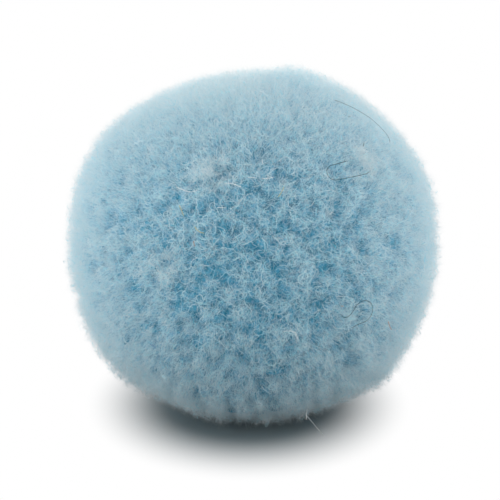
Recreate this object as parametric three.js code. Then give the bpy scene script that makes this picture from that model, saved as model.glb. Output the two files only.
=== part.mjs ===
// Plush pom pom: a ball of yarn wound round and round, tied at its heart, cut
// open all over, brushed out into a short woolly pile and sheared round by hand.
// The cut pile is so dense that it hides the tie, so the ball is one solid that
// reaches as far as the tips of the pile do.
//
// Units are millimetres and +Z is up. The origin is the middle of the flat spot
// that the ball rests on. +X runs along its widest way and -Y is its front.

import * as THREE from 'three';
import { mergeVertices } from 'three/addons/utils/BufferGeometryUtils.js';

// Driving dimensions, across the tips of the pile.
const WIDTH = 30;
const DEPTH = 29.2;
const HEIGHT = 27.8;

// The pile is pressed flat over this radius where the ball rests, and the flat
// spot turns up into the round side over this height.
const REST_RADIUS = 5.5;
const REST_ROLL = 0.5;

// An icosahedron's edges are cut into this many more pieces to make the ball.
const FACET_SPLITS = 11;

// Hand shearing leaves the ball a little uneven. Each row is one swell (rise
// above 0) or one closer-cut spot (rise below 0). Azimuth is counted from +X
// towards +Y, elevation up from level. Spread is how far the swell reaches
// before it has fallen to about a third of its rise.
const SWELLS = [
  { name: 'flat crown', azimuth_deg: 190, elevation_deg: 80, rise_mm: -1.05, spread_deg: 27 },
  { name: 'crown tuft', azimuth_deg: 345, elevation_deg: 68, rise_mm: 0.35, spread_deg: 14 },
  { name: 'right shoulder', azimuth_deg: 0, elevation_deg: 23, rise_mm: 0.35, spread_deg: 13 },
  { name: 'left shoulder', azimuth_deg: 180, elevation_deg: 31, rise_mm: 0.45, spread_deg: 20 },
  { name: 'right haunch', azimuth_deg: 358, elevation_deg: -50, rise_mm: 0.8, spread_deg: 14 },
  { name: 'left haunch', azimuth_deg: 182, elevation_deg: -40, rise_mm: 0.45, spread_deg: 17 },
  { name: 'front cheek', azimuth_deg: 248, elevation_deg: 22, rise_mm: 0.3, spread_deg: 16 },
  { name: 'front hollow', azimuth_deg: 272, elevation_deg: 2, rise_mm: -0.25, spread_deg: 15 },
  { name: 'front brow', azimuth_deg: 300, elevation_deg: 38, rise_mm: 0.25, spread_deg: 16 },
  { name: 'front foot', azimuth_deg: 265, elevation_deg: -48, rise_mm: 0.35, spread_deg: 18 },
  { name: 'back shoulder', azimuth_deg: 75, elevation_deg: 34, rise_mm: 0.4, spread_deg: 20 },
  { name: 'back hollow', azimuth_deg: 108, elevation_deg: 4, rise_mm: -0.35, spread_deg: 18 },
  { name: 'back haunch', azimuth_deg: 60, elevation_deg: -38, rise_mm: 0.35, spread_deg: 18 },
];

// The direction that a swell points in, as a unit vector.
function swellDirection(swell) {
  const azimuth = THREE.MathUtils.degToRad(swell.azimuth_deg);
  const elevation = THREE.MathUtils.degToRad(swell.elevation_deg);
  return new THREE.Vector3(
    Math.cos(elevation) * Math.cos(azimuth),
    Math.cos(elevation) * Math.sin(azimuth),
    Math.sin(elevation),
  );
}

// How far the pile stands out past a true ball in one direction.
function rise(direction) {
  let total = 0;
  for (const swell of SWELLS) {
    const angle = direction.angleTo(swellDirection(swell));
    const reach = angle / THREE.MathUtils.degToRad(swell.spread_deg);
    total += swell.rise_mm * Math.exp(-reach * reach);
  }
  return total;
}

// Height pressed up to the surface that the ball rests on. Well above that
// surface a point keeps its height, and the change between the two is a curve.
function pressed(height) {
  if (height <= -REST_ROLL) {
    return 0;
  }
  if (height >= REST_ROLL) {
    return height;
  }
  const part = height + REST_ROLL;
  return (part * part) / (4 * REST_ROLL);
}

// A closed ball whose corners are shared, so that it is one solid.
function roundBall(radius) {
  const ball = new THREE.IcosahedronGeometry(radius, FACET_SPLITS);
  ball.deleteAttribute('normal');
  ball.deleteAttribute('uv');
  return mergeVertices(ball, radius * 1e-4);
}

// The sheared ball: swells first, then its three sizes, then the flat spot.
function pileBallGeometry() {
  const radius = WIDTH / 2;
  const ball = roundBall(radius);
  const corners = ball.getAttribute('position');
  const corner = new THREE.Vector3();
  for (let i = 0; i < corners.count; i += 1) {
    corner.fromBufferAttribute(corners, i);
    const direction = corner.clone().normalize();
    corner.addScaledVector(direction, rise(direction));
    corners.setXYZ(i, corner.x, corner.y, corner.z);
  }

  ball.center();
  ball.computeBoundingBox();
  const size = ball.boundingBox.getSize(new THREE.Vector3());
  const lost = radius - Math.sqrt(radius * radius - REST_RADIUS * REST_RADIUS);
  const roundHeight = HEIGHT + lost;
  ball.scale(WIDTH / size.x, DEPTH / size.y, roundHeight / size.z);
  ball.translate(0, 0, roundHeight / 2 - lost);

  for (let i = 0; i < corners.count; i += 1) {
    corners.setZ(i, pressed(corners.getZ(i)));
  }
  ball.computeVertexNormals();
  return ball;
}

const woolPile = new THREE.MeshStandardMaterial({
  name: 'wool_pile',
  color: new THREE.Color(0x8fb9cc),
  roughness: 0.95,
  metalness: 0,
});

const pileBall = new THREE.Mesh(pileBallGeometry(), woolPile);
pileBall.name = 'pile_ball';

const pomPom = new THREE.Group();
pomPom.add(pileBall);

export default pomPom;
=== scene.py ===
# %% [markdown]
# # A plush pom pom
# A pom pom is yarn wound into a thick ring, tied hard at its heart, cut open all round, brushed until the
# yarn falls apart into wool, and sheared round. All that the eye meets is the outermost millimetre or two
# of cut wool: short, crimped fibres in little tufts, deep blue between the tufts and pale on top, under a
# haze of very fine, nearly white down.
#
# A shader on a smooth ball could fake the colour, and Blender's hair could give the fibres, but hair is left
# out when a model is exported. So this lesson grows half a million fibres as flat ribbons and blades,
# straight from numpy arrays. They grow on a packed ball, which is the fixed frame: it gives the size and
# the outline, and nothing made here may change them.

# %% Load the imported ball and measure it
import math

import bmesh
import bpy
import numpy as np
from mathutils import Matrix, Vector
from mathutils.bvhtree import BVHTree
from mathutils.kdtree import KDTree


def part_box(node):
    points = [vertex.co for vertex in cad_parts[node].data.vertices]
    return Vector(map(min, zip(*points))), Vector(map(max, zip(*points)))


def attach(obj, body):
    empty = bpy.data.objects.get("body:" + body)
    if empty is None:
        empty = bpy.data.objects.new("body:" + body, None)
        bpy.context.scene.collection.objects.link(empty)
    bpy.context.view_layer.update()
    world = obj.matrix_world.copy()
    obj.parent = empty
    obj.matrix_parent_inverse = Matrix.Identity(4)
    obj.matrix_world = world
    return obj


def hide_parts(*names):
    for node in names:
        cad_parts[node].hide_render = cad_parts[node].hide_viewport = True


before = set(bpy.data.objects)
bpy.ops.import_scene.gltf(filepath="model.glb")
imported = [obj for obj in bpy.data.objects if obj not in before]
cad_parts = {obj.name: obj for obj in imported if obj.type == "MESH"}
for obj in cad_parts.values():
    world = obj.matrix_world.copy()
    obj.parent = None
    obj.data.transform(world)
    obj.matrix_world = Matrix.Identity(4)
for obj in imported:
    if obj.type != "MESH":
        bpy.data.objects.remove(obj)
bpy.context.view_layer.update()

MM = 0.001
BALL = "pile_ball"
scene = bpy.context.scene
ball_low, ball_high = (np.array(corner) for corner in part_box(BALL))
ball_size = ball_high - ball_low
heart = (ball_low + ball_high) / 2
print("ball", (ball_size / MM).round(1), "mm, heart at", (heart / MM).round(1), "mm")

# %% [markdown]
# ## The camera
# A wide lens close by would swell the middle of the ball and hide its sides. A long lens, seven ball widths
# away, keeps it round, and its view is a third wider than the ball. It looks slightly down on the front, so
# that the crown shows as well as the shadow that the ball sits in.

# %% Camera
CAMERA_FAR = 210 * MM
CAMERA_RISE = math.radians(13)
SENSOR = 36
VIEW_WIDTH = 1.337 * ball_size[0]
AIM_FROM_HEART = Vector((-0.25, 0, -0.55)) * MM
NEAREST_SEEN = 5 * MM
aim = Vector(heart) + AIM_FROM_HEART
camera_data = bpy.data.cameras.new("camera")
camera_data.sensor_width = SENSOR
camera_data.lens = SENSOR * CAMERA_FAR / VIEW_WIDTH
camera_data.clip_start = NEAREST_SEEN
camera = bpy.data.objects.new("camera", camera_data)
camera.location = aim + CAMERA_FAR * Vector((0, -math.cos(CAMERA_RISE), math.sin(CAMERA_RISE)))
camera.rotation_euler = (aim - camera.location).to_track_quat("-Z", "Y").to_euler()
scene.collection.objects.link(camera)
scene.camera = camera
print("lens", round(camera_data.lens), "mm")

# %% [markdown]
# ## Wiring shaders
# The room, the floor and the wool all need small sums in their shaders, and a sum takes several lines of
# code as nodes. Four helpers shorten that: one plugs in a value or another node's output, one adds a sum,
# one turns one range of values into another, and one dyes a value with a row of colours.

# %% Helpers for shader nodes


def plug(tree, value, socket):
    """Links another node's output to a socket, or writes a plain value on it."""
    if isinstance(value, bpy.types.NodeSocket):
        tree.links.new(value, socket)
    else:
        socket.default_value = value


def worked(tree, operation, *values, kind="ShaderNodeMath"):
    """A node that works something out from its values."""
    step = tree.nodes.new(kind)
    step.operation = operation
    for value, socket in zip(values, step.inputs):
        plug(tree, value, socket)
    return step


def ranged(tree, value, start, end, low=0.0, high=1.0, shape="SMOOTHSTEP"):
    """The output of a node that turns start to end into low to high. A smooth step is soft at both ends."""
    step = tree.nodes.new("ShaderNodeMapRange")
    step.interpolation_type = shape
    named = {"Value": value, "From Min": start, "From Max": end, "To Min": low, "To Max": high}
    for name, given in named.items():
        plug(tree, given, step.inputs[name])
    return step.outputs[0]


def dyed(tree, stops, tint):
    """The output of a colour ramp that dyes each tint."""
    ramp = tree.nodes.new("ShaderNodeValToRGB")
    ramp.color_ramp.elements[0].color = (*stops[0][1], 1)
    ramp.color_ramp.elements[1].color = (*stops[-1][1], 1)
    for at, colour in stops[1:-1]:
        ramp.color_ramp.elements.new(at).color = (*colour, 1)
    plug(tree, tint, ramp.inputs[0])
    return ramp.outputs[0]


print("4 shader helpers")

# %% [markdown]
# ## The light
# Deep wool passes light from fibre to fibre many times before it comes out again, so the render is allowed
# more diffuse bounces than usual. A weak softbox hangs over the ball. The rest is a white room whose walls
# shine, most of all low down at the ball's sides, less behind it and less again overhead. The wall behind
# the camera's right shoulder is the dimmest: light that grazes the front shows every tuft, and light from
# the sides and from behind sets the down along the outline glowing.

# %% Bounces and colours
DIFFUSE_BOUNCES = 12
scene.cycles.diffuse_bounces = DIFFUSE_BOUNCES
scene.view_settings.view_transform = "Standard"
print("light may bounce up to", DIFFUSE_BOUNCES, "times from fibre to fibre")

# %% Softbox
TOP_WATTS = 0.035
SOFTBOX_WIDTH = 160 * MM
SOFTBOX_FROM_HEART = Vector((0, -25, 300)) * MM
lamp_data = bpy.data.lights.new("top_softbox", "AREA")
lamp_data.size = SOFTBOX_WIDTH
lamp_data.energy = TOP_WATTS
lamp = bpy.data.objects.new("top_softbox", lamp_data)
lamp.location = Vector(heart) + SOFTBOX_FROM_HEART
lamp.rotation_euler = (Vector(heart) - lamp.location).to_track_quat("-Z", "Y").to_euler()
scene.collection.objects.link(lamp)
print("softbox of", TOP_WATTS, "W,", round(SOFTBOX_WIDTH / MM), "mm wide")

# %% [markdown]
# The room could be six real walls. The world's own shader is simpler, and never gets in the camera's way: it
# says how brightly the room shines in each direction. Two of its sums go by how far round a direction is from
# the dim side, where 1 is on that side, 0 is a quarter turn away and -1 is opposite, behind the ball. The
# third goes by its height, where 0 is the horizon and 1 is straight overhead.
#
# The camera sees a plain white room whichever way it looks, and so does anything glossy: a light path node
# tells those rays from the rays that light things.

# %% White room
ROOM_DIM = 0.12
ROOM_BRIGHT = 1.85
ROOM_BEHIND = 0.55
ROOM_LOW = 1.8
ROOM_HIGH = 0.30
DIM_SIDE = (0.19, -0.98, 0.0)
DIM_TO_BRIGHT = (0.95, 0.45)
BEHIND_TO_SIDE = (-1.0, -0.1)
HORIZON_TO_OVERHEAD = (0.0, 1.0)
room = bpy.data.worlds.new("white_room")
scene.world = room
room.use_nodes = True
tree = room.node_tree
tree.nodes.clear()
towards = tree.nodes.new("ShaderNodeTexCoord").outputs["Generated"]
facing = worked(tree, "DOT_PRODUCT", towards, DIM_SIDE, kind="ShaderNodeVectorMath").outputs["Value"]
front = ranged(tree, facing, *DIM_TO_BRIGHT, ROOM_DIM, ROOM_BRIGHT)
behind = ranged(tree, facing, *BEHIND_TO_SIDE, ROOM_BEHIND, 1.0)
walls = worked(tree, "MULTIPLY", front, behind).outputs[0]
axes = tree.nodes.new("ShaderNodeSeparateXYZ")
tree.links.new(towards, axes.inputs[0])
height = ranged(tree, axes.outputs["Z"], *HORIZON_TO_OVERHEAD, ROOM_LOW, ROOM_HIGH, shape="LINEAR")
shining = tree.nodes.new("ShaderNodeBackground")
plug(tree, worked(tree, "MULTIPLY", walls, height).outputs[0], shining.inputs["Strength"])
looked_at = tree.nodes.new("ShaderNodeBackground")
looked_at.inputs["Color"].default_value = (1, 1, 1, 1)
rays = tree.nodes.new("ShaderNodeLightPath")
seen = worked(tree, "MAXIMUM", rays.outputs["Is Camera Ray"], rays.outputs["Is Glossy Ray"]).outputs[0]
which = tree.nodes.new("ShaderNodeMixShader")
for value, socket in zip((seen, shining.outputs[0], looked_at.outputs[0]), which.inputs):
    plug(tree, value, socket)
tree.links.new(which.outputs[0], tree.nodes.new("ShaderNodeOutputWorld").inputs[0])
print("room at the horizon from", round(ROOM_DIM * ROOM_LOW, 3), "to", round(ROOM_BRIGHT * ROOM_LOW, 3))
print("room overhead", round(ROOM_BRIGHT * ROOM_HIGH, 3))

# %% [markdown]
# ## The floor
# The ball sits on a sheet of paper. Seen from the camera, the sheet carries the ball's shadow and fades into
# plain white a little way out, like a small patch of paper in a white room. The fade keeps to the shadow's
# shape, an oval that is longer from front to back than from side to side. Near the ball the paper itself is
# painted a dull blue grey: a painted shadow, with painted blue bounce light from the wool, on top of the
# shadow that the light casts. Further out it is pale, and throws light back up on the ball's lower half.

# %% Floor sheet
FLOOR_HALF = 600 * MM
corners = [(-1, -1, 0), (1, -1, 0), (1, 1, 0), (-1, 1, 0)]
floor_mesh = bpy.data.meshes.new("floor")
floor_mesh.from_pydata([Vector(corner) * FLOOR_HALF for corner in corners], [], [(0, 1, 2, 3)])
floor = bpy.data.objects.new("floor", floor_mesh)
floor.location.z = ball_low[2]
scene.collection.objects.link(floor)
print("floor at z", round(floor.location.z / MM, 2), "mm")

# %% [markdown]
# The paper's shader works out how far each place is from the middle of the oval. Between the two ends of the
# fade it mixes the paper into a plain white glow of strength 1, but only for the camera's rays: for the light
# the sheet stays paper all the way.

# %% Paper with a shadow on it
# Painted shadow near the ball: dark blue grey paper, with painted blue bounce light from the wool.
PAINTED_SHADOW_PAPER = (0.24, 0.28, 0.29)
FAR_PAPER = (0.80, 0.80, 0.80)
FAR = 26 * MM
FADE_FROM = 6.3 * MM
FADE_TO = 13.5 * MM
FADE_MIDDLE = (-0.4 * MM, 3 * MM, 0)
FADE_STRETCH = (1, 0.61, 0)
paper = bpy.data.materials.new("paper_with_painted_shadow")
paper.use_nodes = True
tree = paper.node_tree
sheet = tree.nodes["Principled BSDF"]
sheet.inputs["Roughness"].default_value = 0.9
sheet.inputs["Specular IOR Level"].default_value = 0.0
rays = tree.nodes.new("ShaderNodeLightPath")
place = tree.nodes.new("ShaderNodeTexCoord").outputs["Object"]
moved = worked(tree, "SUBTRACT", place, FADE_MIDDLE, kind="ShaderNodeVectorMath")
squashed = worked(tree, "MULTIPLY", moved.outputs[0], FADE_STRETCH, kind="ShaderNodeVectorMath")
away = worked(tree, "LENGTH", squashed.outputs[0], kind="ShaderNodeVectorMath").outputs["Value"]
# The paper's colour runs from the painted shadow near the ball to pale paper further out.
paper_and_painted_shadow = ((0.0, PAINTED_SHADOW_PAPER), (1.0, FAR_PAPER))
plug(tree, dyed(tree, paper_and_painted_shadow, ranged(tree, away, FADE_TO, FAR)), sheet.inputs["Base Color"])
fade = worked(tree, "MULTIPLY", ranged(tree, away, FADE_FROM, FADE_TO), rays.outputs["Is Camera Ray"])
blend = tree.nodes.new("ShaderNodeMixShader")
white = tree.nodes.new("ShaderNodeEmission")
for value, socket in zip((fade.outputs[0], sheet.outputs[0], white.outputs[0]), blend.inputs):
    plug(tree, value, socket)
tree.links.new(blend.outputs[0], tree.nodes["Material Output"].inputs[0])
floor_mesh.materials.append(paper)
print("paper fades from", FADE_FROM / MM, "to", FADE_TO / MM, "mm out at the sides")

# %% [markdown]
# ## Ways out from the heart
# Everything grows outwards from the ball's heart, so a place on the ball is a direction. These helpers
# spread directions evenly, find the two directions that lie flat on the ball there, and measure how far out
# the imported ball's surface is. A ray cast from the heart measures that best, because it follows every swell
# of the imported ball, where a formula for a ball would not. Soft patches are slow random swells, for what
# changes from one part of the ball to the next.

# %% Helpers for directions
NEAR_POLE = 0.9


def unit(vectors):
    """Each vector at length one."""
    return vectors / np.linalg.norm(vectors, axis=-1, keepdims=True)


def spread_directions(count, jitter, rng):
    """Directions spread evenly over a ball along the golden spiral, each knocked a little off its place."""
    step = np.arange(count) + 0.5
    height = 1 - 2 * step / count
    turn = math.pi * (1 + math.sqrt(5)) * step
    flat = np.sqrt(1 - height * height)
    ways = np.stack([flat * np.cos(turn), flat * np.sin(turn), height], axis=1)
    return unit(ways + rng.normal(scale=jitter, size=ways.shape))


def flat_axes(ways):
    """Two directions that lie flat on the ball, to the right and upwards for someone facing it."""
    helper = np.where(np.abs(ways[:, 2:3]) < NEAR_POLE, [[0.0, 0.0, 1.0]], [[1.0, 0.0, 0.0]])
    across = unit(np.cross(helper, ways))
    return across, np.cross(ways, across)


trial_ways = spread_directions(500, 0.0, np.random.default_rng(0))
print(len(trial_ways), "trial directions, the first", trial_ways[0].round(2))

# %% Helper for soft patches
PATCH_WAVES = 24
PATCH_PITCH = (0.7, 1.4)
MOSTLY_WITHIN = 1.6


def soft_patches(ways, width, seed):
    """Smooth random patches over the ball, mostly within -1 to 1. width is a patch's width in metres."""
    rng = np.random.default_rng(seed)
    headings = unit(rng.normal(size=(PATCH_WAVES, 3)))
    pitch = math.pi * ball_size[0] / 2 / width * rng.uniform(*PATCH_PITCH, PATCH_WAVES)
    start = rng.uniform(0, 2 * math.pi, PATCH_WAVES)
    total = np.cos(ways @ (headings * pitch[:, None]).T + start).sum(axis=1)
    usual = math.sqrt(PATCH_WAVES / 2)
    return total / usual / MOSTLY_WITHIN


patches = soft_patches(trial_ways, 3 * MM, seed=4)
print("patches from", patches.min().round(2), "to", patches.max().round(2))

# %% Helpers for the ball's surface and the floor
OVER_FLOOR = 0.02 * MM
ball_tree = BVHTree.FromObject(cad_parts[BALL], bpy.context.evaluated_depsgraph_get())


def reach(ways):
    """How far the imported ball's surface lies from its heart in each direction, in metres."""
    start = Vector(heart)
    return np.array([ball_tree.ray_cast(start, Vector(way))[3] for way in ways])


def keep_above_floor(points):
    """Points under the floor are lifted to just above it, for the fibres that the ball sits on."""
    points[..., 2] = np.maximum(points[..., 2], ball_low[2] + OVER_FLOOR)
    return points


radii = reach(trial_ways) / MM
print("surface", radii.min().round(1), "to", radii.max().round(1), "mm from the heart")

# %% [markdown]
# ## Fibres as thin faces
# A real fibre is thinner than a tenth of a millimetre, so its roundness never shows, and flat faces do.
# Thousands of them are joined in one mesh. The flat map called OFBake puts each fibre on the wool's colour
# chart: left to right is the fibre's own tint, bottom to top runs from its root to its tip. Each fibre takes
# a narrow strip of the chart, because a strip without any width could not be baked.

# %% One mesh of many fibres
CHART_EDGE = 0.01
CHART_SPAN = 0.98
CHART_STRIP = 3 / 1024


def fibre_mesh(name, vertices, corner_of, face_start, chart_of, tint):
    """One mesh of fibres that all have the same faces. vertices is (fibres, vertices of one, 3).

    corner_of gives one fibre's face corners, face_start where each face starts among them, and chart_of
    each corner's place on the fibre, across and along.
    """
    count, size = vertices.shape[:2]
    fibre = np.arange(count)[:, None]
    loops = (fibre * size + np.array(corner_of)).reshape(-1)
    starts = (fibre * len(corner_of) + np.array(face_start)).reshape(-1)
    chart = np.array(chart_of)
    u = CHART_EDGE + CHART_SPAN * np.clip(tint, 0, 1)[:, None] + chart[None, :, 0] * CHART_STRIP
    v = np.broadcast_to(CHART_EDGE + CHART_SPAN * chart[None, :, 1], u.shape)
    mesh = bpy.data.meshes.new(name)
    mesh.vertices.add(count * size)
    mesh.vertices.foreach_set("co", vertices.astype(np.float32).ravel())
    mesh.loops.add(len(loops))
    mesh.loops.foreach_set("vertex_index", loops.astype(np.int32))
    mesh.polygons.add(len(starts))
    mesh.polygons.foreach_set("loop_start", starts.astype(np.int32))
    flat_map = mesh.uv_layers.new(name="OFBake")
    flat_map.data.foreach_set("uv", np.stack([u, v], axis=-1).astype(np.float32).ravel())
    mesh.update(calc_edges=True)
    mesh.validate()
    return mesh


print("a fibre's tint is", round(CHART_STRIP * 100, 2), "% of the chart wide")

# %% [markdown]
# The crimped wool is made of ribbons, pointed at both ends, with their flat side turned more or less
# outwards. The finest down is a blade, a single triangle with its point outwards: at its size a bend would
# not show, and it costs one triangle where the shortest ribbon costs two.

# %% One ribbon's faces


def ribbon_faces(steps):
    """One ribbon's faces, as fibre_mesh wants them: a triangle at each end and four-sided faces between."""
    rise = np.linspace(0, 1, steps)
    last = 2 * steps - 3
    corner_of = [0, 2, 1]
    face_start = [0]
    chart_of = [(0.0, 0.0), (0.5, rise[1]), (-0.5, rise[1])]
    for step in range(1, steps - 2):
        low = 2 * step - 1
        face_start.append(len(corner_of))
        corner_of += [low, low + 1, low + 3, low + 2]
        chart_of += [(-0.5, rise[step]), (0.5, rise[step])]
        chart_of += [(0.5, rise[step + 1]), (-0.5, rise[step + 1])]
    face_start.append(len(corner_of))
    corner_of += [last - 2, last - 1, last]
    chart_of += [(-0.5, rise[-2]), (0.5, rise[-2]), (0.0, 1.0)]
    return corner_of, face_start, chart_of


print("a ribbon of 4 steps has", len(ribbon_faces(4)[1]), "faces")

# %% Ribbons and blades
RIBBON_TAPER = 0.75


def ribbon_mesh(name, path, tint, width, seed, stray=0.35):
    """One mesh of ribbons, whose flat sides stray that much from facing straight outwards.

    path is (fibres, steps, 3), tint a value of the colour chart and width in metres.
    """
    rng = np.random.default_rng(seed)
    count, steps = path.shape[:2]
    along = np.gradient(path, axis=1)
    outward = unit(path.mean(axis=1) - heart)[:, None, :]
    outward = outward + rng.normal(scale=stray, size=(count, 1, 3))
    across = unit(np.cross(along, outward))
    half = width[:, None, None] / 2 * np.linspace(1.0, RIBBON_TAPER, steps)[None, :, None]
    sides = np.stack([path - across * half, path + across * half], axis=2)
    pairs = sides[:, 1:-1].reshape(count, -1, 3)
    vertices = np.concatenate([path[:, :1], pairs, path[:, -1:]], axis=1)
    return fibre_mesh(name, vertices, *ribbon_faces(steps), tint)


def blade_mesh(name, root, tip, tint, width, seed):
    """One mesh of blades, turned any way about themselves. width is in metres."""
    rng = np.random.default_rng(seed)
    across = unit(np.cross(tip - root, rng.normal(size=tip.shape))) * width / 2
    vertices = np.stack([root - across, root + across, tip], axis=1)
    return fibre_mesh(name, vertices, [0, 1, 2], [0], [(-0.5, 0.0), (0.5, 0.0), (0.0, 1.0)], tint)


print("a ribbon narrows to", RIBBON_TAPER, "of its width on the way to its point")

# %% [markdown]
# Each finished mesh goes into the scene as one piece, which rides on the ball's only body, root.

# %% Helper that places a piece


def place_piece(mesh, material):
    """Puts a finished mesh in the scene as one piece of the ball."""
    mesh.materials.append(material)
    piece = bpy.data.objects.new(mesh.name, mesh)
    scene.collection.objects.link(piece)
    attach(piece, "root")
    triangles = sum(len(face.vertices) - 2 for face in mesh.polygons)
    print(mesh.name, triangles, "triangles")
    return piece


print("pieces so far:", len(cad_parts), "packed")

# %% [markdown]
# ## Dyed wool
# Most fibres are sky blue, with some chance in each one's tint, and the fine ones stay nearly white. Fibres
# low in the gaps take deeper tints, which is painted shade. Every fibre also fades from a deeper root to a
# paler tip, partly its dye and partly painted shade of the deep pile. A material for each tint would be a
# long list, so one shader reads the flat map as a colour chart, which holds one row of colours for roots and
# one for tips. Thin wool lets about a fifth of the light straight through, the finest down half of it, so the
# shader is part cloth and part translucent sheet of the same colour.

# %% The wool's dyes
# The root row is deeper than the tip row: partly dye, partly painted shade deep in the pile.
ROOT_DYE_AND_SHADE = (
    (0.0, (0.07, 0.38, 0.54)),
    (0.4, (0.14, 0.62, 0.81)),
    (0.75, (0.52, 0.88, 0.96)),
    (1.0, (0.85, 0.95, 0.98)),
)
TIP_DYE = (
    (0.0, (0.14, 0.58, 0.76)),
    (0.4, (0.34, 0.85, 0.95)),
    (0.75, (0.80, 0.97, 0.99)),
    (1.0, (0.99, 0.99, 0.98)),
)
print("dyes:", len(ROOT_DYE_AND_SHADE), "at the root,", len(TIP_DYE), "at the tip")

# %% The wool's shader
ROOT_TO_TIP = (0.1, 0.95)


def wool(name, let_through):
    """Wool that reads its tint and its place along the fibre from the colour chart."""
    material = bpy.data.materials.new(name)
    material.use_nodes = True
    tree = material.node_tree
    cloth = tree.nodes["Principled BSDF"]
    cloth.inputs["Roughness"].default_value = 0.85
    cloth.inputs["Specular IOR Level"].default_value = 0.2
    cloth.inputs["Sheen Weight"].default_value = 0.3
    cloth.inputs["Sheen Roughness"].default_value = 0.5
    chart = tree.nodes.new("ShaderNodeUVMap")
    chart.uv_map = "OFBake"
    place = tree.nodes.new("ShaderNodeSeparateXYZ")
    tree.links.new(chart.outputs[0], place.inputs[0])
    # The fade from root to tip darkens the roots: partly dye, partly painted shade.
    fading = tree.nodes.new("ShaderNodeMix")
    fading.data_type = "RGBA"
    plug(tree, ranged(tree, place.outputs["Y"], *ROOT_TO_TIP), fading.inputs["Factor"])
    plug(tree, dyed(tree, ROOT_DYE_AND_SHADE, place.outputs["X"]), fading.inputs["A"])
    plug(tree, dyed(tree, TIP_DYE, place.outputs["X"]), fading.inputs["B"])
    tree.links.new(fading.outputs["Result"], cloth.inputs["Base Color"])
    thin = tree.nodes.new("ShaderNodeBsdfTranslucent")
    tree.links.new(fading.outputs["Result"], thin.inputs["Color"])
    both = tree.nodes.new("ShaderNodeMixShader")
    for value, socket in zip((let_through, cloth.outputs[0], thin.outputs[0]), both.inputs):
        plug(tree, value, socket)
    tree.links.new(both.outputs[0], tree.nodes["Material Output"].inputs[0])
    return material


pile_wool = wool("blue_wool", let_through=0.2)
down_wool = wool("pale_down", let_through=0.5)
print("shaders:", pile_wool.name, "and", down_wool.name)

# %% [markdown]
# ## The tufts
# Brushing splits the cut yarn into little tufts about a millimetre apart. Real tufts could be grown one by
# one, but then a gap is as hard to steer as a tuft. Here each tuft is only a middle, and every fibre
# belongs to the nearest one: it leans a little towards it, and it is sheared lower the further it stands
# from it, which makes a low dome. Whole patches of tufts, and single ones too, stand a little higher or
# lower and are a little paler or deeper than the rest.

# %% Tuft middles
TUFTS = 3000
TUFT_JITTER = 0.03
TUFT_PATCH = 3 * MM
TUFT_LIFT = 0.10 * MM
PATCH_TINT = 0.05
TUFT_TINT = 0.04
rng = np.random.default_rng(11)
tuft_way = spread_directions(TUFTS, TUFT_JITTER, rng)
tuft_lift = TUFT_LIFT * soft_patches(tuft_way, TUFT_PATCH, seed=4)
tuft_lift = tuft_lift + rng.normal(scale=TUFT_LIFT, size=TUFTS)
tuft_tint = PATCH_TINT * soft_patches(tuft_way, TUFT_PATCH, seed=3)
tuft_tint = tuft_tint + rng.normal(scale=TUFT_TINT, size=TUFTS)
tuft_tree = KDTree(TUFTS)
for number, way in enumerate(tuft_way):
    tuft_tree.insert(way, number)
tuft_tree.balance()


def nearest_tuft(ways):
    """The number of the tuft that each direction belongs to."""
    return np.array([tuft_tree.find(way)[1] for way in ways])


ball_area = 4 * math.pi * (ball_size[0] / 2) ** 2
print("tufts about", round(math.sqrt(ball_area / TUFTS) / MM, 2), "mm apart")

# %% [markdown]
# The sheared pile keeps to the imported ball, with three small differences. The crown's left shoulder stands
# a little proud, a small cowlick sticks up beside it, and round the flat spot that the ball sits on the
# pile curls under. Each is a soft swell or dip in the outline, so that all kinds of fibre follow it alike.

# %% The outline of the pile
SHOULDER = 0.25 * MM
SHOULDER_AT = (-0.2, 0, 1)
SHOULDER_WIDTH = 7 * MM
COWLICK = 0.5 * MM
COWLICK_AT = (0.25, 0, 1)
COWLICK_WIDTH = 2 * MM
UNDER_ROLL = 0.5 * MM
UNDER_FROM = 0.72
UNDER_SPAN = 0.26


def hill(ways, middle, width):
    """One at the middle, and almost none at twice the width away from it. width is in metres."""
    away = np.linalg.norm(ways - unit(np.array(middle)), axis=1) * ball_size[0] / 2
    return np.exp(-((away / width) ** 2))


def outline(ways):
    """How far from the heart the sheared pile ends in each direction, in metres."""
    proud = SHOULDER * hill(ways, SHOULDER_AT, SHOULDER_WIDTH)
    proud = proud + COWLICK * hill(ways, COWLICK_AT, COWLICK_WIDTH)
    under = np.clip((-ways[:, 2] - UNDER_FROM) / UNDER_SPAN, 0, 1)
    return reach(ways) + proud - UNDER_ROLL * np.sin(math.pi * under)


print("crown", round(outline(np.array([[0.0, 0.0, 1.0]]))[0] / MM, 2), "mm above the heart")

# %% [markdown]
# The pile does not stand open alike everywhere. The crown has been stroked smooth, so its tufts close up.
# The front has been handled most, and its tufts stand apart with deep gaps between them. One value, which
# changes softly over the ball, says how open the pile is, and the tufts' shape follows it.

# %% How open the pile stands
HANDLED = unit(np.array((-0.05, -1.0, 0.0)))
HANDLED_POWER = 4
OPEN = 0.5
OPEN_WHERE_HANDLED = 0.65
CLOSED_WHERE_STROKED = 0.55
OPEN_LIMITS = (0.15, 1.15)


def openness(ways):
    """How open the pile stands in each direction."""
    handled = np.clip(ways @ HANDLED, 0, 1) ** HANDLED_POWER
    stroked = np.clip(ways[:, 2], 0, 1)
    return np.clip(OPEN + OPEN_WHERE_HANDLED * handled - CLOSED_WHERE_STROKED * stroked, *OPEN_LIMITS)


print("openness at the crown", openness(np.array([[0.0, 0.0, 1.0]])), "at the front", openness(HANDLED[None]))

# %% [markdown]
# Where the pile stands open, its fibres gather more towards the middles of their tufts, and the tufts are
# sheared to higher domes. Low on the ball the pile hangs a little under its own weight.

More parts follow.
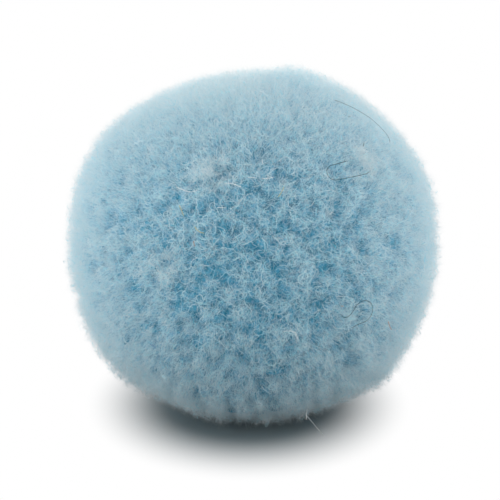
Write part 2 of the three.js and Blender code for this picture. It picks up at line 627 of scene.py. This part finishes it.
# %% Gathering, domes and droop
INSET = 0.55 * MM
GATHER = 0.5
TUFT_RIM = 0.5 * MM
TUFT_DOME = 1.05 * MM
DOME_TOP = 0.3
DOME_END = 1.4
HANG = 0.15
HANG_LOW_DOWN = 0.45
HANG_MOST = 0.6


def gathered(ways, tuft):
    """Directions pulled a little towards the middle of their tufts."""
    return unit(ways + (tuft_way[tuft] - ways) * (GATHER * openness(ways))[:, None])


def relief(ways, tuft):
    """How much higher or lower the pile was sheared than the ball's outline, in metres."""
    away = np.linalg.norm(ways - tuft_way[tuft], axis=1) * ball_size[0] / 2
    dome = TUFT_DOME * (DOME_TOP - np.minimum(away / TUFT_RIM, DOME_END) ** 2)
    return (tuft_lift[tuft] + dome) * openness(ways)


def droop(ways):
    """How much the pile hangs, as a slope that lies flat on the ball."""
    hang = np.zeros_like(ways)
    hang[:, 2] = -np.clip(HANG - HANG_LOW_DOWN * ways[:, 2], 0, HANG_MOST)
    return hang - ways * (hang * ways).sum(axis=1, keepdims=True)


heights = relief(tuft_way, np.arange(TUFTS)) / MM
print("tuft tops stand from", heights.min().round(2), "to", heights.max().round(2), "mm over the outline")

# %% [markdown]
# ## The pile
# The pile itself is short, crimped wool. A curve with a round bevel could stand for each fibre, but would
# cost a dozen triangles or more where a ribbon costs two. Each ribbon has a root, a knee and a tip: from the
# root it leans one way, and at the knee it turns another way. The tips keep clear of the outline, to leave
# room for the paler fibres that lie over them.

# %% Crimped fibres from root to tip
FIBRES = 60000
FIBRE_TALL = (0.5 * MM, 0.95 * MM)
FIBRE_DEPTH = (0.55 * MM, 1.2 * MM)
FIBRE_JITTER = 0.004
CRIMP = (0.2 * MM, 0.5 * MM)
KNEE_TURN = (0.8, 2.6)
KNEE_HEIGHT = (0.4, 0.75)
KNEE_DROOP = 0.3
rng = np.random.default_rng(5)
way = spread_directions(FIBRES, FIBRE_JITTER, rng)
side, up = flat_axes(way)
depth = rng.uniform(*FIBRE_DEPTH, FIBRES)
tall = rng.uniform(*FIBRE_TALL, FIBRES)
tuft = nearest_tuft(way)
sheared = relief(way, tuft) - INSET
top = outline(way) + sheared - depth
first_turn = rng.uniform(0, 2 * math.pi, FIBRES)
second_turn = first_turn + rng.choice([-1, 1], FIBRES) * rng.uniform(*KNEE_TURN, FIBRES)
bends = []
for turn in (first_turn, second_turn):
    flat = side * np.cos(turn)[:, None] + up * np.sin(turn)[:, None]
    bends.append(flat * rng.uniform(*CRIMP, FIBRES)[:, None])
knee_tall = tall * rng.uniform(*KNEE_HEIGHT, FIBRES)
slope = droop(way)
root = way * (top - tall)[:, None]
way = gathered(way, tuft)
knee = way * (top - tall + knee_tall)[:, None] + bends[0] + slope * (tall * KNEE_DROOP)[:, None]
tip = way * top[:, None] + bends[0] + bends[1] + slope * tall[:, None]
pile_path = keep_above_floor(np.stack([root, knee, tip], axis=1) + heart)
print("fibres", (tall.min() / MM).round(2), "to", (tall.max() / MM).round(2), "mm tall")

# %% [markdown]
# Fibres that end high are paler than those deep in the gaps: painted shade, put into the tint by depth.
# Some chance in each fibre's tint and width keeps the pile from looking printed.

# %% Their tints, with painted shade in the gaps, and widths
PILE_TINT = 0.40
PAINTED_GAP_SHADE = 0.15 / MM
GAP_SHADE_ZERO_DEPTH = 0.8 * MM
TINT_SCATTER = 0.12
FIBRE_WIDTH = 0.055 * MM
WIDTH_SCATTER = (0.7, 1.25)
# Painted shade: the tint drops with depth below the tuft tops, so the gaps are darker in colour.
pile_tint_and_shade = PILE_TINT + PAINTED_GAP_SHADE * (GAP_SHADE_ZERO_DEPTH - depth + relief(way, tuft)) + tuft_tint[tuft]
pile_tint_and_shade = pile_tint_and_shade + rng.normal(scale=TINT_SCATTER, size=FIBRES)
pile_width = FIBRE_WIDTH * rng.uniform(*WIDTH_SCATTER, FIBRES)
place_piece(ribbon_mesh("pile", pile_path, pile_tint_and_shade, pile_width, seed=100), pile_wool)

# %% [markdown]
# ## The down
# Brushing also draws out the very finest fibres, which take hardly any dye. They stand more or less
# straight out, so they hardly show where the eye looks down on them, and gather into a pale haze towards
# the outline. A shader could add such a haze at the edge, but only real down breaks up the outline too. It
# is made of blades, the only way to afford so many, in two pieces, every other blade to each, so that
# neither gets too heavy.

# %% Down
DOWNS = 380000
DOWN_WIDTH = 0.018 * MM
DOWN_TALL = (0.95 * MM, 1.45 * MM)
DOWN_DEPTH = (-0.40 * MM, 0.52 * MM)
DOWN_SLANT = 0.4
DOWN_RELIEF = 0.8
DOWN_TINT = (0.96, 1.0)
rng = np.random.default_rng(41)
way = spread_directions(DOWNS, FIBRE_JITTER, rng)
slant = rng.normal(scale=DOWN_SLANT, size=(DOWNS, 2))
side, up = flat_axes(way)
line = unit(way + side * slant[:, :1] + up * slant[:, 1:])
tall = rng.uniform(*DOWN_TALL, DOWNS)
top = outline(way) + DOWN_RELIEF * relief(way, nearest_tuft(way)) - rng.uniform(*DOWN_DEPTH, DOWNS)
tip = way * top[:, None]
root = keep_above_floor(tip - line * tall[:, None] + heart)
tip = keep_above_floor(tip + heart)
down_tint = rng.uniform(*DOWN_TINT, DOWNS)
for half in range(2):
    name = "pale_down_%d" % (half + 1)
    mesh = blade_mesh(name, root[half::2], tip[half::2], down_tint[half::2], DOWN_WIDTH, seed=43 + half)
    place_piece(mesh, down_wool)

# %% [markdown]
# ## The curls
# Most of what shows between the down are fibres that have fallen over and lie curled along the tufts. Bent
# copies of one curl would be easy to scatter, but would sink into the tufts and float over the gaps. So a
# curl is drawn as one would walk on the ball: some steps of the same length, each turned a little more the
# same way, with some wandering and bobbing. On the stroked crown the curls are pressed a little deeper.

# %% Helper for curled fibres
CROWN_SINK = 0.15 * MM
CURLED_JITTER = 0.01
STRIDE_SCATTER = (0.6, 1.3)


def curled(ways, depth, rng, steps, stride, curl, wander, bob):
    """Fibres that lie curled along the pile: their paths, their tufts, and how deep they lie.

    ways is where they start. Paths are (fibres, steps, 3). curl and wander are the usual steady and chance
    turns at each step, in radians, and bob is the usual rise or dip. Lengths are in metres.
    """
    count = len(ways)
    tuft = nearest_tuft(ways)
    sheared = relief(ways, tuft) - INSET - CROWN_SINK * (1 - openness(ways))
    out = outline(ways) + sheared - depth
    ways = gathered(ways, tuft)
    side, up = flat_axes(ways)
    heading = rng.uniform(0, 2 * math.pi, count)
    own_curl = rng.normal(scale=curl, size=count)
    own_stride = stride * rng.uniform(*STRIDE_SCATTER, count)
    spot = ways * out[:, None]
    spots = []
    for step in range(steps):
        spots.append(spot + ways * rng.normal(scale=bob, size=count)[:, None])
        ahead = side * np.cos(heading)[:, None] + up * np.sin(heading)[:, None]
        spot = unit(spot + ahead * own_stride[:, None]) * out[:, None]
        heading = heading + own_curl + rng.normal(scale=wander, size=count)
    return keep_above_floor(np.stack(spots, axis=1) + heart), tuft, depth - sheared


print("curls sink by up to", CROWN_SINK / MM, "mm on the crown")

# %% [markdown]
# The curls on top of the tufts are pale, the ones down in the gaps are deep blue. That is painted shade:
# the light shades the gaps too, and the colour adds the same darkening from any side.

# %% Curls
CURLS = 62000
CURL_WIDTH = 0.045 * MM
CURL_DEPTH_MM = (0.05, 0.95)
CURL_WALK = {"steps": 4, "stride": 0.24 * MM, "curl": 0.6, "wander": 0.5, "bob": 0.07 * MM}
CURL_TOP = 0.80
CURL_PAINTED_SHADE = 0.46
SHADE_FULL_DEPTH = 0.95 * MM
SHADE_MASK_MOST = 1.5
SHADE_MASK_BEND = 0.7
CURL_SCATTER = 0.08
rng = np.random.default_rng(51)
way = spread_directions(CURLS, CURLED_JITTER, rng)
depth = rng.uniform(*CURL_DEPTH_MM, CURLS) * MM
path, tuft, deep = curled(way, depth, rng, **CURL_WALK)
# Painted shade: the deeper a curl lies in a gap, the deeper blue its tint.
curl_shade_mask = np.clip((deep - INSET) / SHADE_FULL_DEPTH, 0, SHADE_MASK_MOST) ** SHADE_MASK_BEND
curl_tint_and_shade = CURL_TOP - CURL_PAINTED_SHADE * curl_shade_mask + tuft_tint[tuft] + rng.normal(scale=CURL_SCATTER, size=CURLS)
curl_width = CURL_WIDTH * rng.uniform(*WIDTH_SCATTER, CURLS)
for half in range(2):
    name = "curls_%d" % (half + 1)
    mesh = ribbon_mesh(name, path[half::2], curl_tint_and_shade[half::2], curl_width[half::2], seed=53 + half)
    place_piece(mesh, pile_wool)

# %% [markdown]
# ## The veil
# Over the tufts lies a veil of finer, paler curls, turned any way about themselves. It breaks up the down,
# which would look like combed fur without it. Bent down could do that as well, but the walk that draws the
# curls is there already, and with a few other numbers it draws the veil.

# %% Veil
VEILS = 30000
VEIL_WIDTH = 0.032 * MM
VEIL_DEPTH_MM = (-0.40, 0.20)
VEIL_WALK = {"steps": 4, "stride": 0.24 * MM, "curl": 0.7, "wander": 0.6, "bob": 0.10 * MM}
VEIL_TINT = (0.68, 0.92)
VEIL_STRAY = 1.5
rng = np.random.default_rng(71)
way = spread_directions(VEILS, CURLED_JITTER, rng)
depth = rng.uniform(*VEIL_DEPTH_MM, VEILS) * MM
path, _, _ = curled(way, depth, rng, **VEIL_WALK)
veil_width = VEIL_WIDTH * rng.uniform(*WIDTH_SCATTER, VEILS)
veil_tint = rng.uniform(*VEIL_TINT, VEILS)
place_piece(ribbon_mesh("veil", path, veil_tint, veil_width, seed=73, stray=VEIL_STRAY), down_wool)

# %% [markdown]
# ## Loose strands
# Here and there a longer, thicker strand has worked loose and lies curled on the pile. Strands are what the
# eye picks out as single fibres. They are the same walk again, with more steps, and lie a little higher.

# %% Loose strands
STRANDS = 9500
STRAND_WIDTH = (0.034 * MM, 0.062 * MM)
STRAND_DEPTH_MM = (-0.65, 0.0)
STRAND_WALK = {"steps": 7, "stride": 0.22 * MM, "curl": 0.5, "wander": 0.5, "bob": 0.07 * MM}
STRAND_TINT = (0.75, 1.0)
rng = np.random.default_rng(61)
way = spread_directions(STRANDS, CURLED_JITTER, rng)
depth = rng.uniform(*STRAND_DEPTH_MM, STRANDS) * MM
path, _, _ = curled(way, depth, rng, **STRAND_WALK)
strand_width = rng.uniform(*STRAND_WIDTH, STRANDS)
strand_tint = rng.uniform(*STRAND_TINT, STRANDS)
place_piece(ribbon_mesh("loose_strands", path, strand_tint, strand_width, seed=63), down_wool)

# %% [markdown]
# ## Matted spots
# In three places on the front the white down has matted into a pale spot. A paler dye there would look like
# a stain, so each spot is a cloud of veil curls, thick in the middle and thinning out, at a place given in
# degrees to the right of the front and up from the waist.

# %% Matted spots
SPOTS = (
    (-16, 35, 0.70 * MM),
    (49, 36, 0.75 * MM),
    (-29, 4, 0.90 * MM),
)
SPOT_CURLS = 650
SPOT_DEPTH_MM = (-0.45, 0.10)
SPOT_WALK = {"steps": 4, "stride": 0.22 * MM, "curl": 0.8, "wander": 0.6, "bob": 0.08 * MM}
SPOT_WIDTH_SCATTER = (0.7, 1.2)


def place_on_ball(right, rise):
    """The direction of a place, from degrees to the right of the front and degrees up from the waist."""
    right, rise = math.radians(right), math.radians(rise)
    return np.array((math.sin(right) * math.cos(rise), -math.cos(right) * math.cos(rise), math.sin(rise)))


rng = np.random.default_rng(81)
spot_ways = []
for right, rise, spread in SPOTS:
    middle = place_on_ball(right, rise)
    spot_ways.append(unit(middle + rng.normal(scale=spread / (ball_size[0] / 2), size=(SPOT_CURLS, 3))))
way = np.concatenate(spot_ways)
depth = rng.uniform(*SPOT_DEPTH_MM, len(way)) * MM
path, _, _ = curled(way, depth, rng, **SPOT_WALK)
spot_width = VEIL_WIDTH * rng.uniform(*SPOT_WIDTH_SCATTER, len(way))
spot_tint = np.ones(len(way))
mesh = ribbon_mesh("matted_spots", path, spot_tint, spot_width, seed=82, stray=VEIL_STRAY)
place_piece(mesh, down_wool)

# %% [markdown]
# ## Stray hairs
# Wool picks up hairs and lint. A few dark, straw, rust and blue ones are caught on the front, with some
# long white fibres of its own. Chance would put them anywhere, but these few are what one ball is told from
# the next by, so each is given one by one: a place, a heading in degrees, where 0 is to the right and 90 is
# up, how far its end stands off in millimetres, and its stretches, each a length in millimetres with the bend
# along it in degrees.

# %% The hairs and where they lie
HAIRS = {
    "dark": (
        (35, 34.5, 185, 0.0, ((1.7, 0), (1.75, 175), (2.6, 5), (0.5, 30))),
        (44, 56.5, -38, 0.0, ((3.0, -10), (2.2, -25), (0.8, -60))),
        (25.5, -7.5, -95, 0.0, ((0.9, 130), (0.7, 30), (3.6, -240), (0.9, 25))),
        (45, 48.5, -5, 0.0, ((0.3, 0),)),
        (43, 38, 50, 0.0, ((0.4, 0),)),
    ),
    "white": (
        (-2, 31.5, -5, 0.0, ((0.7, 0),)),
        (2.5, 31, 0, 0.0, ((0.9, 15),)),
        (-9.5, 29.5, 5, 0.0, ((1.3, -30),)),
        (-25, 27.5, -15, 0.0, ((0.9, 0), (1.0, 60))),
        (-11, 22.5, 0, 0.0, ((0.7, 0),)),
        (3, 37, -85, 0.0, ((0.4, 0),)),
        (8, -12.5, 0, 0.0, ((0.6, 0), (0.8, -90), (0.5, 0))),
        (21, -42, -90, 0.5, ((0.8, 0),)),
        (21, -45, -150, 0.5, ((0.8, 0),)),
        (21, -45, -55, 1.2, ((2.8, 10),)),
    ),
    "straw": (
        (-22.5, 22.5, -55, 0.0, ((0.9, -5),)),
        (-17, 17, -60, 0.0, ((0.9, 60),)),
        (7.5, 25.5, 50, 0.0, ((0.9, 15),)),
    ),
    "rust": (
        (-17, 13, -75, 0.0, ((0.4, 0),)),
        (42.5, -13, -65, 0.0, ((1.0, 20),)),
        (25, -6, -10, 0.0, ((0.25, 0),)),
    ),
    "blue": (
        (6, 32, -60, 0.0, ((0.4, 0),)),
        (-32, -18.5, -35, 0.0, ((0.55, 0),)),
    ),
}
print(sum(len(hairs) for hairs in HAIRS.values()), "stray hairs in", len(HAIRS), "colours")

# %% [markdown]
# A hair is walked over the ball like a curl, but by its own stretches. It lies a little over the outline,
# on top of the tufts.

# %% A hair's way over the ball
HAIR_OVER = 0.70 * MM
HAIR_STEPS = 25


def hair_path(right, rise, heading, stand_off, stretches):
    """A hair's points over the pile, from its place, its heading and its stretches."""
    lengths = [length for length, bend in stretches]
    turns = np.radians([heading] + [bend for length, bend in stretches])
    ends = np.concatenate([[0], np.cumsum(lengths)])
    walked = np.linspace(0, ends[-1], HAIR_STEPS)
    turned = np.interp(walked, ends, np.cumsum(turns))
    stride = walked[1] * MM
    middle = place_on_ball(right, rise)[None]
    side, up = flat_axes(middle)
    flat = side * np.cos(turned[:, None]) + up * np.sin(turned[:, None])
    spots = middle * reach(middle) + np.cumsum(flat, axis=0) * stride
    ways = unit(spots)
    over = HAIR_OVER + stand_off * MM * (walked / ends[-1]) ** 2
    return ways * (reach(ways) + over)[:, None] + heart


print("a hair lies", HAIR_OVER / MM, "mm over the outline")

# %% [markdown]
# All hairs of one colour are one piece, with a plain material that leaves the chart unread: a hair this
# thin shows no more than its colour.

# %% Stray hairs
HAIR_COLOUR = {
    "dark": (0.03, 0.08, 0.09),
    "white": (0.97, 0.98, 0.97),
    "straw": (0.72, 0.60, 0.25),
    "rust": (0.55, 0.22, 0.10),
    "blue": (0.04, 0.16, 0.42),
}
HAIR_WIDTH = 0.05 * MM
HAIR_STRAY = 0.1
MIDDLE_TINT = 0.5
for colour, hairs in HAIRS.items():
    material = bpy.data.materials.new(colour + "_hair")
    material.use_nodes = True
    lint = material.node_tree.nodes["Principled BSDF"]
    lint.inputs["Base Color"].default_value = (*HAIR_COLOUR[colour], 1)
    lint.inputs["Roughness"].default_value = 0.6
    paths = keep_above_floor(np.stack([hair_path(*hair) for hair in hairs]))
    widths = np.full(len(hairs), HAIR_WIDTH)
    tints = np.full(len(hairs), MIDDLE_TINT)
    mesh = ribbon_mesh(colour + "_hairs", paths, tints, widths, seed=90, stray=HAIR_STRAY)
    place_piece(mesh, material)

# %% [markdown]
# ## The heart of the ball
# Below the loose tips the wool is packed tight, and no fibre can be told from the next. More fibres would
# be lost in there, and a smooth ball would show as a floor at the bottom of the gaps. So a lumpy ball under
# the pile stands for it, and no light falls through. It takes the place of the plain packed ball.

# %% Lumpy ball
HEART_DEPTH = 1.35 * MM
HEART_CUTS = 6
LUMP = 0.25 * MM
LUMP_WIDTH = 0.9 * MM
HEART_OVER_FLOOR = 0.3 * MM
shape = bmesh.new()
bmesh.ops.create_icosphere(shape, subdivisions=HEART_CUTS, radius=1)
way = unit(np.array([vert.co[:] for vert in shape.verts]))
out = reach(way) - HEART_DEPTH + LUMP * soft_patches(way, LUMP_WIDTH, seed=31)
for vert, point in zip(shape.verts, way * out[:, None] + heart):
    vert.co = Vector(point)
    vert.co.z = max(vert.co.z, ball_low[2] + HEART_OVER_FLOOR)
heart_mesh = bpy.data.meshes.new("pile_heart")
shape.to_mesh(heart_mesh)
shape.free()
heart_mesh.shade_smooth()
print("the heart lies", HEART_DEPTH / MM, "mm under the outline")

# %% [markdown]
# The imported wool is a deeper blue, since hardly any light gets out of it again. Its crimp is too fine to
# model, so one noise does two things: it dyes the wool from deep to mid blue, and as bump it roughens it.

# %% Packed wool
PACKED_DYE = ((0.0, (0.05, 0.25, 0.38)), (1.0, (0.15, 0.48, 0.67)))
CRIMP_ENDS = (0.3, 0.7)
deep_wool = bpy.data.materials.new("deep_wool")
deep_wool.use_nodes = True
tree = deep_wool.node_tree
cloth = tree.nodes["Principled BSDF"]
cloth.inputs["Roughness"].default_value = 0.95
cloth.inputs["Specular IOR Level"].default_value = 0.1
crimp = tree.nodes.new("ShaderNodeTexNoise")
crimp.inputs["Scale"].default_value = 2500
crimp.inputs["Detail"].default_value = 6
plug(tree, tree.nodes.new("ShaderNodeTexCoord").outputs["Object"], crimp.inputs["Vector"])
plug(tree, dyed(tree, PACKED_DYE, ranged(tree, crimp.outputs[0], *CRIMP_ENDS)), cloth.inputs["Base Color"])
bump = tree.nodes.new("ShaderNodeBump")
bump.inputs["Strength"].default_value = 0.6
bump.inputs["Distance"].default_value = 0.1 * MM
plug(tree, crimp.outputs[0], bump.inputs["Height"])
plug(tree, bump.outputs[0], cloth.inputs["Normal"])
pile_heart = place_piece(heart_mesh, deep_wool)
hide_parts(BALL)
